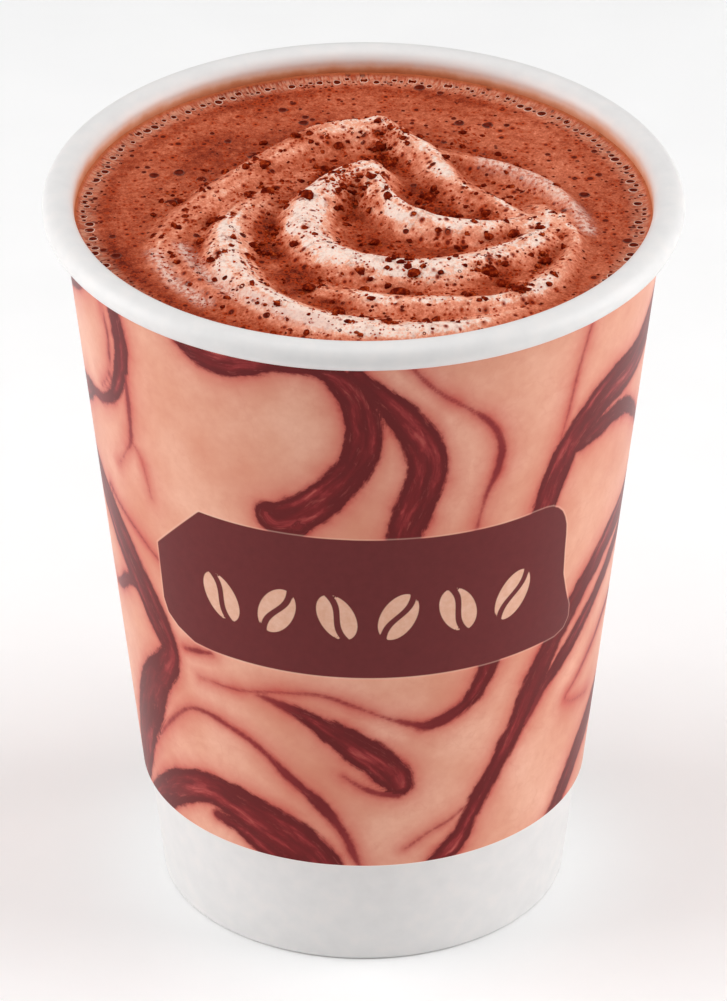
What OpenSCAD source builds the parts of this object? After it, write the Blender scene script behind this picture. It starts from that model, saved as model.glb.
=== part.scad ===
// Takeaway hot chocolate: a double-wall paper cup, filled nearly to its rolled rim, with a folded
// swirl of cream afloat on the drink. Millimetres, +Z up, origin at the middle of the foot.

/* [Cup] */
// Height from the table to the top of the rim
cup_height = 109.5; // [85:0.5:140]
// Outer diameter of the rolled rim
rim_diameter = 90; // [75:0.5:110]
// Outer diameter of the foot
foot_diameter = 57.6; // [46:0.2:70]
// Thickness of the cup's board
board = 0.45; // [0.3:0.05:0.7]
// Width of the rolled rim, from the inside of the wall outwards
curl_width = 4.4; // [3.4:0.1:6]
// Height of the rolled rim
curl_height = 4; // [3:0.1:6]
// Angle past straight down at which the rim's roll ends
curl_tail = 32; // [0:1:45]

/* [Bottom] */
// Height of the bottom's upper face above the table
bottom_height = 9; // [7:0.5:20]
// Thickness of the bottom's board
bottom_board = 0.4; // [0.3:0.05:0.7]
// Height of the hem that is turned up inside the foot
hem_height = 7; // [4:0.5:12]

/* [Sleeve] */
// Height of the bare band between the table and the sleeve
bare_band = 17.5; // [5:0.5:40]
// Thickness of the sleeve's card
card = 0.4; // [0.25:0.05:0.6]
// How far the sleeve's face stands off the cup at its lower edge
stand_off_low = 0.85; // [0.7:0.05:2]
// How far the sleeve's face stands off the cup under the rim
stand_off_high = 1.25; // [0.8:0.05:2]
// Slack between the sleeve's upper edge and the rim
sleeve_slack = 0.05; // [0.02:0.01:0.5]
// Width of the glued lap at the back of the sleeve
lap_width = 8; // [4:0.5:15]

/* [Drink] */
// Depth of the drink's surface below the top of the rim
drink_depth = 3.8; // [2.5:0.1:30]
// Climb of the drink up the wall
meniscus_rise = 0.5; // [0.2:0.05:1]
// Width of the drink's curved edge
meniscus_width = 1.2; // [0.8:0.1:3]

/* [Cream swirl] */
// Height of the swirl's peak above the drink
swirl_peak = 3.7; // [2:0.1:12]
// Distance of the swirl's middle from the cup's axis, towards the front
swirl_offset = 6.3; // [0:0.1:12]
// Gap between the swirl and the drink's curved edge, at the front
swirl_gap = 0.4; // [0.2:0.1:5]
// Thickness of the cream at the outline and in the furrows
cream_film = 0.3; // [0.2:0.05:1]
// Width over which the folds die out towards the outline
fade_width = 3; // [1:0.5:8]
// Number of rings of the swirl's surface
swirl_rings = 29; // [16:1:32]
// Number of points in each ring
swirl_points = 84; // [48:4:96]

/* [Hidden] */
$fn = 96;

rim_r = rim_diameter / 2;
foot_r = foot_diameter / 2;
curl_a = curl_width / 2;
curl_b = curl_height / 2;
curl_r = rim_r - curl_a;
curl_z = cup_height - curl_b;
curl_steps = 27;
taper = (rim_r - curl_width - foot_r + board) / curl_z;
sleeve_taper = (stand_off_high - stand_off_low) / (curl_z - curl_b - bare_band);
level = cup_height - drink_depth;
lap_angle = lap_width / (wall_out((bare_band + curl_z) / 2) + stand_off_low) * 180 / PI;

swirl_r = wall_in(level) - meniscus_width - swirl_gap - swirl_offset;
// Radius at which the folds below are drawn; they grow and shrink with the swirl
drawn_r = 32.5;

// The folds, each a crest that turns about its own centre, measured from the swirl's middle:
// [centre x, centre y, start angle, end angle, crest radii, crest heights, reach outwards, reach inwards]
// Radii and heights are at even steps of angle, and heights are shares of the peak
folds = [
    // long fold that climbs the left side and ends at the top
    [3, 3.3, 203, 92, [35, 30.2, 26.1, 23.9, 24, 26, 26.2], [0.1, 0.25, 0.4, 0.52, 0.6, 0.68, 0.7], 3.4, 6.5],
    // its return, which falls from the top to the right
    [20.6, 25.8, 166, 280, [18.9, 13.9, 11.9, 12.9, 14.7, 17.5, 22.6], [0.7, 0.7, 0.62, 0.56, 0.5, 0.44, 0.3], 4.8, 3.4],
    // the heart of the swirl, from the peak round the left and the front to the right
    [3, 3.3, 101, 360, [12, 10.9, 11.5, 13.2, 14.3, 17.8, 23.5], [1, 0.88, 0.76, 0.68, 0.64, 0.56, 0.38], 5, 5.8],
    // the short curl from the peak to the right
    [15.4, 17.6, 203, 296, [15.2, 16, 17, 17.4, 17.2, 16.8], [1, 0.92, 0.82, 0.7, 0.58, 0.36], 4.6, 3.6],
    // broad fold outside the heart, round the left and along the front
    [3, 3.3, 125, 322, [18.4, 18.4, 21.2, 25.2, 28.8, 31, 33, 34.6], [0.12, 0.26, 0.46, 0.58, 0.58, 0.48, 0.42, 0.2], 4.6, 5.4],
    // ripple between them at the front, which rises to the right
    [3, 3.3, 246, 368, [20.5, 22.2, 24.2, 28, 28.4, 27.2, 22], [0.2, 0.36, 0.42, 0.44, 0.42, 0.38, 0.3], 3, 3.4],
    // low lip on the right
    [3, 3.3, 72, -14, [21.5, 21.2, 22.9, 25.3, 27.8, 30], [0.24, 0.4, 0.44, 0.4, 0.3, 0.14], 2.4, 3],
    // low lip on the left
    [3, 3.3, 190, 256, [30, 30.8, 31.6, 33.5], [0.1, 0.24, 0.24, 0.12], 1.8, 2.6]
];

function wall_in(z) = foot_r - board + z * taper;
function wall_out(z) = wall_in(z) + board;
function sleeve_out(z) = wall_out(z) + stand_off_low + (z - bare_band) * sleeve_taper;
function curl_point(a, inset) = [curl_r + (curl_a - inset) * cos(a), curl_z + (curl_b - inset) * sin(a)];
// Height of the rim's underside at radius r
function curl_under(r) = curl_z - curl_b * sqrt(max(0, 1 - pow((r - curl_r) / curl_a, 2)));

function clamp01(x) = min(1, max(0, x));
function smooth01(x) = let (s = clamp01(x)) s * s * (3 - 2 * s);
// Value of an evenly spaced list at share t of its length, on a smooth curve through its values
function along(list, t) =
    let (
        last = len(list) - 1,
        s = clamp01(t) * last,
        i = min(floor(s), last - 1),
        f = s - i,
        a = list[max(i - 1, 0)],
        b = list[i],
        c = list[i + 1],
        d = list[min(i + 2, last)]
    )
    b + f / 2 * (c - a + f * (2 * a - 5 * b + 4 * c - d + f * (3 * b - a - 3 * c + d)));
function share(fold, angle) = (angle - fold[2]) / (fold[3] - fold[2]);
// Share of the fold's length that lies nearest to the angle, whichever turn it is on
function nearest_share(fold, angle) =
    let (
        a = share(fold, angle - 360),
        b = share(fold, angle),
        c = share(fold, angle + 360),
        ab = abs(a - 0.5) < abs(b - 0.5) ? a : b
    )
    abs(ab - 0.5) < abs(c - 0.5) ? ab : c;
// Lift that one fold gives to the surface at a point, from 0 away from it to its height on the crest
function fold_lift(fold, p) =
    let (
        from = p - [fold[0], fold[1]],
        t = nearest_share(fold, atan2(from[1], from[0])),
        inside = clamp01(t),
        crest = along(fold[4], inside),
        crest_angle = fold[2] + (fold[3] - fold[2]) * inside,
        end_gap = norm(from - crest * [cos(crest_angle), sin(crest_angle)]),
        off = norm(from) - crest,
        gap = t == inside ? abs(off) : end_gap,
        reach = off > 0 ? fold[6] : fold[7],
        rest = clamp01(1 - pow(gap / reach, 2))
    )
    along(fold[5], inside) * rest * rest;
function swirl_lift(p) = pow(max(0, [for (fold = folds) pow(fold_lift(fold, p), 4)] * [for (fold = folds) 1]), 0.25);
function swirl_top(p) =
    let (
        edge = smooth01((swirl_r - norm(p)) / fade_width)
    )
    level + cream_film + (swirl_peak - cream_film) * min(1, swirl_lift(p * drawn_r / swirl_r)) * edge;

// Tapered wall of the cup, with its rolled rim and the hem that is turned up inside its foot
module cup_wall() {
    tail = -90 - curl_tail;
    roll_out = [for (i = [0 : curl_steps]) curl_point(tail + (180 - tail) * i / curl_steps, 0)];
    roll_in = [for (i = [0 : curl_steps]) curl_point(180 + (tail - 180) * i / curl_steps, board)];
    hem_face = wall_in(0) - bottom_board;
    color("white")
        rotate_extrude()
            polygon(concat(
                [[hem_face - board, 0], [foot_r, 0]],
                roll_in,
                roll_out,
                [
                    [wall_in(board), board],
                    [wall_in(board) - bottom_board, board],
                    [wall_in(hem_height) - bottom_board, hem_height],
                    [wall_in(hem_height) - bottom_board - board, hem_height]
                ]
            ));
}

// Bottom disc, set in above the table, whose skirt is gripped between the wall and its hem
module cup_bottom() {
    floor_z = bottom_height - bottom_board;
    color("whitesmoke")
        rotate_extrude()
            polygon([
                [0, floor_z],
                [wall_in(floor_z) - bottom_board, floor_z],
                [wall_in(board) - bottom_board, board],
                [wall_in(board), board],
                [wall_in(bottom_height), bottom_height],
                [0, bottom_height]
            ]);
}

// Printed card wrap, turned in at its lower edge to meet the cup, with a glued lap at the back
module sleeve() {
    top_z = curl_under(sleeve_out(curl_z - curl_b)) - sleeve_slack;
    lap_z = curl_under(sleeve_out(curl_z - curl_b) + card) - sleeve_slack;
    turn_z = bare_band + card;
    color("burlywood")
        union() {
            rotate_extrude()
                polygon([
                    [wall_out(bare_band), bare_band],
                    [sleeve_out(bare_band), bare_band],
                    [sleeve_out(top_z), top_z],
                    [sleeve_out(top_z) - card, top_z],
                    [sleeve_out(turn_z) - card, turn_z],
                    [wall_out(turn_z), turn_z]
                ]);
            rotate([0, 0, 90 - lap_angle / 2])
                rotate_extrude(angle = lap_angle)
                    polygon([
                        [sleeve_out(bare_band) - card / 2, bare_band],
                        [sleeve_out(bare_band) + card, bare_band],
                        [sleeve_out(lap_z) + card, lap_z],
                        [sleeve_out(lap_z) - card / 2, lap_z]
                    ]);
        }
}

// The drink, which fills the cup from its bottom and climbs a little at the wall
module drink() {
    climb_z = level + meniscus_rise;
    edge_r = wall_in(level) - meniscus_width;
    edge_steps = 6;
    color("sienna")
        rotate_extrude()
            polygon(concat(
                [[0, bottom_height], [wall_in(bottom_height), bottom_height], [wall_in(climb_z), climb_z]],
                [
                    for (i = [1 : edge_steps])
                        let (s = 1 - i / edge_steps)
                        [edge_r + (wall_in(climb_z) - edge_r) * s, level + meniscus_rise * s * s]
                ],
                [[0, level]]
            ));
}

// The cream: a round patch of folds that wind out from the peak, flat where it floats on the drink
module cream_swirl() {
    ring_points = [
        for (i = [1 : swirl_rings])
            for (j = [0 : swirl_points - 1])
                let (
                    r = swirl_r * i / swirl_rings,
                    a = 360 * (j + (i % 2) / 2) / swirl_points,
                    p = r * [cos(a), sin(a)]
                )
                [p[0], p[1] - swirl_offset, swirl_top(p)]
    ];
    last_ring = (swirl_rings - 1) * swirl_points;
    underside = [for (j = [0 : swirl_points - 1]) [ring_points[last_ring + j][0], ring_points[last_ring + j][1], level]];
    middle = [[0, -swirl_offset, swirl_top([0, 0])]];
    hub = len(ring_points);
    under = hub + 1;
    color("bisque")
        polyhedron(
            points = concat(ring_points, middle, underside),
            faces = concat(
                [for (j = [0 : swirl_points - 1]) [hub, (j + 1) % swirl_points, j]],
                [
                    for (i = [0 : swirl_rings - 2])
                        for (j = [0 : swirl_points - 1])
                            for (half = [0, 1])
                                let (
                                    k = (j + 1) % swirl_points,
                                    inner = i * swirl_points,
                                    outer = inner + swirl_points,
                                    lean = i % 2
                                )
                                lean == 0
                                    ? (half == 0
                                        ? [inner + j, outer + k, outer + j]
                                        : [inner + j, inner + k, outer + k])
                                    : (half == 0
                                        ? [inner + j, inner + k, outer + j]
                                        : [inner + k, outer + k, outer + j])
                ],
                [
                    for (j = [0 : swirl_points - 1])
                        let (k = (j + 1) % swirl_points)
                        [last_ring + j, last_ring + k, under + k, under + j]
                ],
                [[for (j = [0 : swirl_points - 1]) under + j]]
            )
        );
}

cup_wall();
cup_bottom();
sleeve();
drink();
cream_swirl();
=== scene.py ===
import math
import random
from functools import partial

import bpy
import numpy as np
from mathutils import Matrix, Vector


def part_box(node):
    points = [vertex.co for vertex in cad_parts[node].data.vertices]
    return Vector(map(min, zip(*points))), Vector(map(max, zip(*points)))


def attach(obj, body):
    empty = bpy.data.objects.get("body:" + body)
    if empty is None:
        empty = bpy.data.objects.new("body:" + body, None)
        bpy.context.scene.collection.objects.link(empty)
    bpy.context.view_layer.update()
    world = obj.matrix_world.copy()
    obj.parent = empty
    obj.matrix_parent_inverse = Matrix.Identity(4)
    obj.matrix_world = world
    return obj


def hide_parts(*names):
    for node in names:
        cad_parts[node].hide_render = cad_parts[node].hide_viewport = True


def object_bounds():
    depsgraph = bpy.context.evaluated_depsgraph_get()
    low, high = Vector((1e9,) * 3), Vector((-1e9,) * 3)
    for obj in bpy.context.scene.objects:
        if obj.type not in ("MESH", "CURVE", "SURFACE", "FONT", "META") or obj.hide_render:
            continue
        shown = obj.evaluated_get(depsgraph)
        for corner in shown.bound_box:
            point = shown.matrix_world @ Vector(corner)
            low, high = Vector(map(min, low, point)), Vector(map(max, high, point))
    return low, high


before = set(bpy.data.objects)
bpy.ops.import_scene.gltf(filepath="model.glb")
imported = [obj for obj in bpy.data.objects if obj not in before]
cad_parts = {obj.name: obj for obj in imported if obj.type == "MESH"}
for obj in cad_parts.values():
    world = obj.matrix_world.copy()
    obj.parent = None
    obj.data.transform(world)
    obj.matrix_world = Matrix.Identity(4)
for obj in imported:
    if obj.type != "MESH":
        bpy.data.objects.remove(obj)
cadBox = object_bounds()
print("frame loaded:", ", ".join(sorted(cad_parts)))

# All shapes below are worked out in millimetres and turned to metres when a mesh is made.
mm = 0.001


def nodePoints(name):
    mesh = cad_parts[name].data
    points = np.zeros(len(mesh.vertices) * 3, np.float32)
    mesh.vertices.foreach_get("co", points)
    return points.reshape(-1, 3) / mm


def radiusAt(name, height):
    # largest radius of a CAD node near a height
    points = nodePoints(name)
    near = np.abs(points[:, 2] - height) < 0.06
    return float(np.hypot(points[near, 0], points[near, 1]).max())


cup = {
    "board": 0.45,          # thickness of the cup's board
    "curlWidth": 4.4,       # rolled rim, outwards
    "curlHeight": 4.0,      # rolled rim, upwards
    "curlTail": 32,         # degrees past straight down where the roll ends
    "curlLead": 3.0,        # the plain wall ends this far below the roll's middle
    "hemHeight": 7.0,
    "skirtGap": 0.4,        # room for the bottom's skirt inside the hem
    "seamAngle": 152,       # lap of the cup's own wall, degrees round from the front
    "seamWidth": 7.0,
    "seamStep": 0.22,
    "filmReach": 3.4,       # how far up the lining the drink's film shows
    "lining": 8.0,          # how far below the drink the lining's close rows go
    "columns": 300,
}
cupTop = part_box("cup_wall")[1].z / mm
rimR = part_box("cup_wall")[1].x / mm
footR = radiusAt("cup_wall", 0)
curlZ = cupTop - cup["curlHeight"] / 2
curlR = rimR - cup["curlWidth"] / 2
taper = (rimR - cup["curlWidth"] + cup["board"] - footR) / curlZ
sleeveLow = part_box("sleeve")[0].z / mm
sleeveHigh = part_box("sleeve")[1].z / mm
creamMiddle = (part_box("cream_swirl")[0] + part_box("cream_swirl")[1]) / 2 / mm
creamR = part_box("cream_swirl")[1].x / mm
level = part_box("cream_swirl")[0].z / mm
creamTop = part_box("cream_swirl")[1].z / mm


def wallIn(z):
    return footR - cup["board"] + z * taper


def wallOut(z):
    return footR + z * taper


def hexToLinear(code):
    channels = [int(code[i:i + 2], 16) / 255 for i in (1, 3, 5)]
    return [c / 12.92 if c <= 0.04045 else ((c + 0.055) / 1.055) ** 2.4 for c in channels] + [1.0]


def addNode(tree, kind, settings, wanted=0):
    # a setting is named for a property or a socket, and another node's output is linked to it
    node = tree.nodes.new("ShaderNode" + kind)
    for name, value in settings.items():
        if name == "stops":  # colours or greys along a ramp
            ramp = node.color_ramp
            while len(ramp.elements) < len(value):
                ramp.elements.new(0.5)
            for element, (place, colour) in zip(ramp.elements, value):
                element.position = place
                element.color = hexToLinear(colour) if isinstance(colour, str) else [colour] * 3 + [1]
        elif isinstance(value, bpy.types.NodeSocket):
            tree.links.new(value, node.inputs[name])
        elif isinstance(name, str) and hasattr(node, name):
            setattr(node, name, value)
        else:
            node.inputs[name].default_value = hexToLinear(value) if isinstance(value, str) else value
    return node.outputs[wanted] if node.outputs else node


def startMaterial(name):
    # Patterns are laid out over the piece's own coordinates, in millimetres.
    material = bpy.data.materials.new(name)
    material.use_nodes = True
    material.node_tree.nodes.clear()
    add = partial(addNode, material.node_tree)
    place = add("TexCoord", {}, "Object")
    return material, add, add("Mapping", {"Vector": place, "Scale": (1000, 1000, 1000)})


def gridFaces(rows, columns, joinRows=False):
    # quads between neighbouring rows of points; each row runs right round, and so can the columns
    r = np.arange(rows if joinRows else rows - 1)[:, None]
    c = np.arange(columns)[None, :]
    a = r * columns + c
    b = r * columns + (c + 1) % columns
    up = (r + 1) % rows * columns
    return np.stack([a, b, up + (c + 1) % columns, up + c], -1).reshape(-1, 4)


def makePiece(name, points, faces, material, replaced=(), layers=None):
    mesh = bpy.data.meshes.new(name)
    mesh.from_pydata((np.asarray(points) * mm).tolist(), [], [list(map(int, f)) for f in faces])
    mesh.validate()
    mesh.shade_smooth()
    mesh.set_sharp_from_angle(angle=math.radians(62))
    for layerName, values in (layers or {}).items():
        layer = mesh.attributes.new(layerName, "FLOAT", "POINT")
        layer.data.foreach_set("value", np.asarray(values, np.float32))
    piece = bpy.data.objects.new(name, mesh)
    bpy.context.scene.collection.objects.link(piece)
    mesh.materials.append(material)
    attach(piece, "root")
    if replaced:
        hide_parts(*replaced)
    print(f"{name}: {len(mesh.polygons)} faces")


def smooth(x):
    x = np.clip(x, 0, 1)
    return x * x * (3 - 2 * x)


def softNoise(x, y, cell, seed):
    # smooth random heights from 0 to 1, on a lattice of that cell size
    table = np.random.RandomState(seed).rand(256, 256)
    u, v = x / cell, y / cell
    i, j = np.floor(u).astype(int), np.floor(v).astype(int)
    fu, fv = smooth(u - i), smooth(v - j)
    i, j, i1, j1 = i % 256, j % 256, (i + 1) % 256, (j + 1) % 256
    low = table[i, j] * (1 - fu) + table[i1, j] * fu
    high = table[i, j1] * (1 - fu) + table[i1, j1] * fu
    return low * (1 - fv) + high * fv


def alongList(values, share):
    # value at a share of an evenly spaced list, on a smooth curve through its values
    values = np.asarray(values, float)
    last = len(values) - 1
    s = np.clip(share, 0, 1) * last
    i = np.minimum(np.floor(s).astype(int), last - 1)
    f = s - i
    a, b = values[np.maximum(i - 1, 0)], values[i]
    c, d = values[i + 1], values[np.minimum(i + 2, last)]
    if values.ndim > 1:
        f = f[..., None]
    return b + f / 2 * (c - a + f * (2 * a - 5 * b + 4 * c - d + f * (3 * b - a - 3 * c + d)))


def cupboardPaper(name, stained):
    # Coated cup board, pressed and rolled: white, satin, with the faint cloud of its fibres.
    material, add, place = startMaterial(name)
    cloud = add("TexNoise", {"Vector": place, "Scale": 0.35, "Detail": 5})
    colour = add("ValToRGB", {"Fac": cloud, "stops": [(0.3, "#e1dfde"), (0.7, "#e7e5e4")]})
    if stained:
        # just above the drink the lining is tinted by the film that the drink left on it
        gap = add("Attribute", {"attribute_name": "aboveDrink"}, "Fac")
        uneven = add("Math", {"operation": "MULTIPLY_ADD", 0: cloud, 1: 0.35, 2: -0.17})
        reach = add("Math", {"operation": "SUBTRACT", 0: gap, 1: uneven})
        lighterFilmStops = [(0.05, "#c97a50"), (0.25, "#e09c78"), (0.5, "#f1c8b2"), (0.8, "#f0dfd6")]
        darkerFilmStops = [(0.05, "#a04c24"), (0.25, "#c0703f"), (0.45, "#dfa886"), (0.8, "#ecd9d0")]
        lighterFilm = add("ValToRGB", {"Fac": reach, "stops": lighterFilmStops})
        darkerFilm = add("ValToRGB", {"Fac": reach, "stops": darkerFilmStops})
        # the darker film mixed in towards the back is painted shade over the drink's real stain
        depth = add("Attribute", {"attribute_name": "filmDepth"}, "Fac")
        film = add("MixRGB", {"Fac": depth, "Color1": lighterFilm, "Color2": darkerFilm})
        fade = [(0.0, 1.0), (0.35, 0.95), (0.65, 0.5), (1.0, 0.0)]
        stain = add("ValToRGB", {"Fac": reach, "stops": fade})
        colour = add("MixRGB", {"Fac": stain, "Color1": colour, "Color2": film})
    fibre = add("TexNoise", {"Vector": place, "Scale": 2.2, "Detail": 6})
    bump = add("Bump", {"Height": fibre, "Strength": 0.12, "Distance": 0.00006})
    paper = {"Base Color": colour, "Roughness": 0.42, "IOR": 1.5, "Normal": bump}
    add("OutputMaterial", {"Surface": add("BsdfPrincipled", paper)})
    return material


def marbledCard():
    # Printed card, satin varnish: peach ground, dark red marbling with red halos, a maroon panel.
    material, add, place = startMaterial("marbledPrintedCard")
    layers = ("veinEdge", "veinWidth", "veinAlong", "veinAcross", "panelEdge", "motifEdge", "bareCard")
    laid = {layer: add("Attribute", {"attribute_name": layer}, "Fac") for layer in layers}
    cloud = add("TexNoise", {"Vector": place, "Scale": 0.07, "Detail": 3})
    mottle = add("TexNoise", {"Vector": place, "Scale": 0.8, "Detail": 8, "Roughness": 0.65})
    peaches = [(0.3, "#dc9377"), (0.5, "#e6a68b"), (0.72, "#f4bea4")]
    peach = add("ValToRGB", {"Fac": cloud, "stops": peaches})
    speck = add("MapRange", {"Value": mottle, "From Min": 0.3, "From Max": 0.75, "To Max": 0.3})
    peach = add("MixRGB", {"Fac": speck, "Color1": peach, "Color2": "#d27f69"})
    # fine cracks wander across the ground, as where wet colours shrink apart
    broad = add("VectorMath", {"operation": "SCALE", 0: place, "Scale": 0.03})
    warp = add("TexNoise", {"Vector": place, "Scale": 0.12, "Detail": 4}, "Color")
    warped = add("MixRGB", {"blend_type": "LINEAR_LIGHT", "Fac": 1.0, "Color1": broad, "Color2": warp})
    cells = add("TexVoronoi", {"feature": "DISTANCE_TO_EDGE", "Vector": warped, "Scale": 1.0})
    crack = add("MapRange", {"Value": cells, "From Max": 0.03, "To Min": 0.145, "To Max": 0.0})
    crack = add("Math", {"operation": "MULTIPLY", 0: crack, 1: cloud})
    peach = add("MixRGB", {"Fac": crack, "Color1": peach, "Color2": "#c4604c"})

    # the edge of a vein wavers by a few tenths of a millimetre; thin veins waver less and stay paler
    body = add("MapRange", {"Value": laid["veinWidth"], "From Min": 0.3, "From Max": 2.12})
    waver = add("TexNoise", {"Vector": place, "Scale": 0.3, "Detail": 3, "Roughness": 0.55})
    waver = add("Math", {"operation": "SUBTRACT", 0: waver, 1: 0.5})
    waverReach = add("Math", {"operation": "MULTIPLY_ADD", 0: body, 1: 0.8, 2: 0.35})
    edge = add("Math", {"operation": "MULTIPLY_ADD", 0: waver, 1: waverReach, 2: laid["veinEdge"]})
    ragged = add("TexNoise", {"Vector": place, "Scale": 1.4, "Detail": 4, "Roughness": 0.6})
    ragged = add("Math", {"operation": "SUBTRACT", 0: ragged, 1: 0.5})
    edge = add("Math", {"operation": "MULTIPLY_ADD", 0: ragged, 1: 0.5, 2: edge})

    # red ink has bled out from it: a patchy halo of some millimetres, and a narrow glow
    reach = add("Math", {"operation": "DIVIDE", 0: edge, 1: 7.0})
    fade = [(0.0, 1.0), (0.12, 0.72), (0.3, 0.34), (0.55, 0.12), (1.0, 0.0)]
    halo = add("ValToRGB", {"Fac": reach, "stops": fade})
    patchy = add("TexNoise", {"Vector": place, "Scale": 0.18, "Detail": 2})
    patchy = add("Math", {"operation": "ADD", 0: patchy, 1: 0.3})
    halo = add("Math", {"operation": "MULTIPLY", "use_clamp": True, 0: halo, 1: patchy})
    bled = add("MixRGB", {"Fac": halo, "Color1": peach, "Color2": "#cb5c4e"})
    glow = add("MapRange", {"Value": edge, "From Min": 1.133, "From Max": -0.2})
    glow = add("Math", {"operation": "MULTIPLY", 0: glow, 1: glow})
    glowShare = add("Math", {"operation": "ADD", "use_clamp": True, 0: body, 1: 0.45})
    glow = add("Math", {"operation": "MULTIPLY", 0: glow, 1: glowShare})
    bled = add("MixRGB", {"Fac": glow, "Color1": bled, "Color2": "#ad3834"})

    # lighter red streaks run along the veins, a few tenths of a millimetre wide
    flow = add("CombineXYZ", {
        "X": add("Math", {"operation": "MULTIPLY", 0: laid["veinAlong"], 1: 0.13}),
        "Y": add("Math", {"operation": "MULTIPLY", 0: laid["veinAcross"], 1: 0.7})})
    bend = add("TexNoise", {"Vector": place, "Scale": 0.35, "Detail": 2}, "Color")
    bent = add("MixRGB", {"blend_type": "ADD", "Fac": 0.5, "Color1": flow, "Color2": bend})
    # they keep to the middle of a vein: the first half millimetre stays dark
    streak = add("TexNoise", {"Vector": bent, "Scale": 0.75, "Detail": 6, "Roughness": 0.6})
    streak = add("Math", {"operation": "SUBTRACT", 0: streak, 1: 0.36})
    deep = add("MapRange", {"Value": edge, "From Min": -0.35, "From Max": -1.183})
    streak = add("Math", {"operation": "MULTIPLY_ADD", 0: streak, 1: deep, 2: 0.36})
    reds = [(0.42, "#640609"), (0.53, "#760f13"), (0.61, "#93292a"), (0.71, "#b9524a")]
    core = add("ValToRGB", {"Fac": streak, "stops": reds})
    fleck = add("TexNoise", {"Vector": bent, "Scale": 2.6, "Detail": 5, "Roughness": 0.7})
    fleckShare = add("MapRange", {"Value": fleck, "From Min": 0.58, "From Max": 0.74, "To Max": 0.5})
    core = add("MixRGB", {"Fac": fleckShare, "Color1": core, "Color2": "#b8574e"})
    core = add("MixRGB", {"Fac": body, "Color1": "#8c2024", "Color2": core})
    # its edge frays into wisps that run the same way
    wisp = add("Math", {"operation": "MULTIPLY_ADD", 0: fleck, 1: 1.4, 2: -0.7})
    wispy = add("Math", {"operation": "MULTIPLY_ADD", 0: wisp, 1: body, 2: edge})
    grown = add("Math", {"operation": "MULTIPLY_ADD", 0: body, 1: 0.2, 2: 0.1})
    inside = add("Math", {"operation": "SUBTRACT", 0: grown, 1: wispy})
    inside = add("MapRange", {"Value": inside, "From Max": 0.417})
    solid = add("Math", {"operation": "MULTIPLY_ADD", "use_clamp": True, 0: body, 1: 0.3, 2: 0.75})
    inside = add("Math", {"operation": "MULTIPLY", 0: inside, 1: solid})
    veined = add("MixRGB", {"Fac": inside, "Color1": bled, "Color2": core})

    # a fine pale line runs round the panel, where two printed layers don't quite meet
    offLine = add("Math", {"operation": "SUBTRACT", 0: laid["panelEdge"], 1: 0.1})
    offLine = add("Math", {"operation": "ABSOLUTE", 0: offLine})
    line = add("MapRange", {"Value": offLine, "From Max": 0.2, "To Min": 0.35, "To Max": 0.0})
    printed = add("MixRGB", {"Fac": line, "Color1": veined, "Color2": "#f3c3b0"})
    # solid maroon ink with the motif left open to the peach
    maroon = add("ValToRGB", {"Fac": mottle, "stops": [(0.3, "#641c1d"), (0.7, "#6c2122")]})
    onPanel = add("Math", {"operation": "MULTIPLY", "use_clamp": True, 0: laid["panelEdge"], 1: -9.0})
    printed = add("MixRGB", {"Fac": onPanel, "Color1": printed, "Color2": maroon})
    onMotif = add("Math", {"operation": "MULTIPLY", "use_clamp": True, 0: laid["motifEdge"], 1: -9.0})
    peachInk = add("ValToRGB", {"Fac": mottle, "stops": [(0.3, "#dea589"), (0.7, "#ebbba4")]})
    printed = add("MixRGB", {"Fac": onMotif, "Color1": printed, "Color2": peachInk})
    colour = add("MixRGB", {"Fac": laid["bareCard"], "Color1": printed, "Color2": "#f6f1ee"})
    fibre = add("TexNoise", {"Vector": place, "Scale": 3.0, "Detail": 5})
    bump = add("Bump", {"Height": fibre, "Strength": 0.1, "Distance": 0.00005})
    varnished = {
        "Base Color": colour, "Roughness": 0.36, "IOR": 1.5, "Specular IOR Level": 0.2, "Normal": bump}
    add("OutputMaterial", {"Surface": add("BsdfPrincipled", varnished)})
    return material


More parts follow.
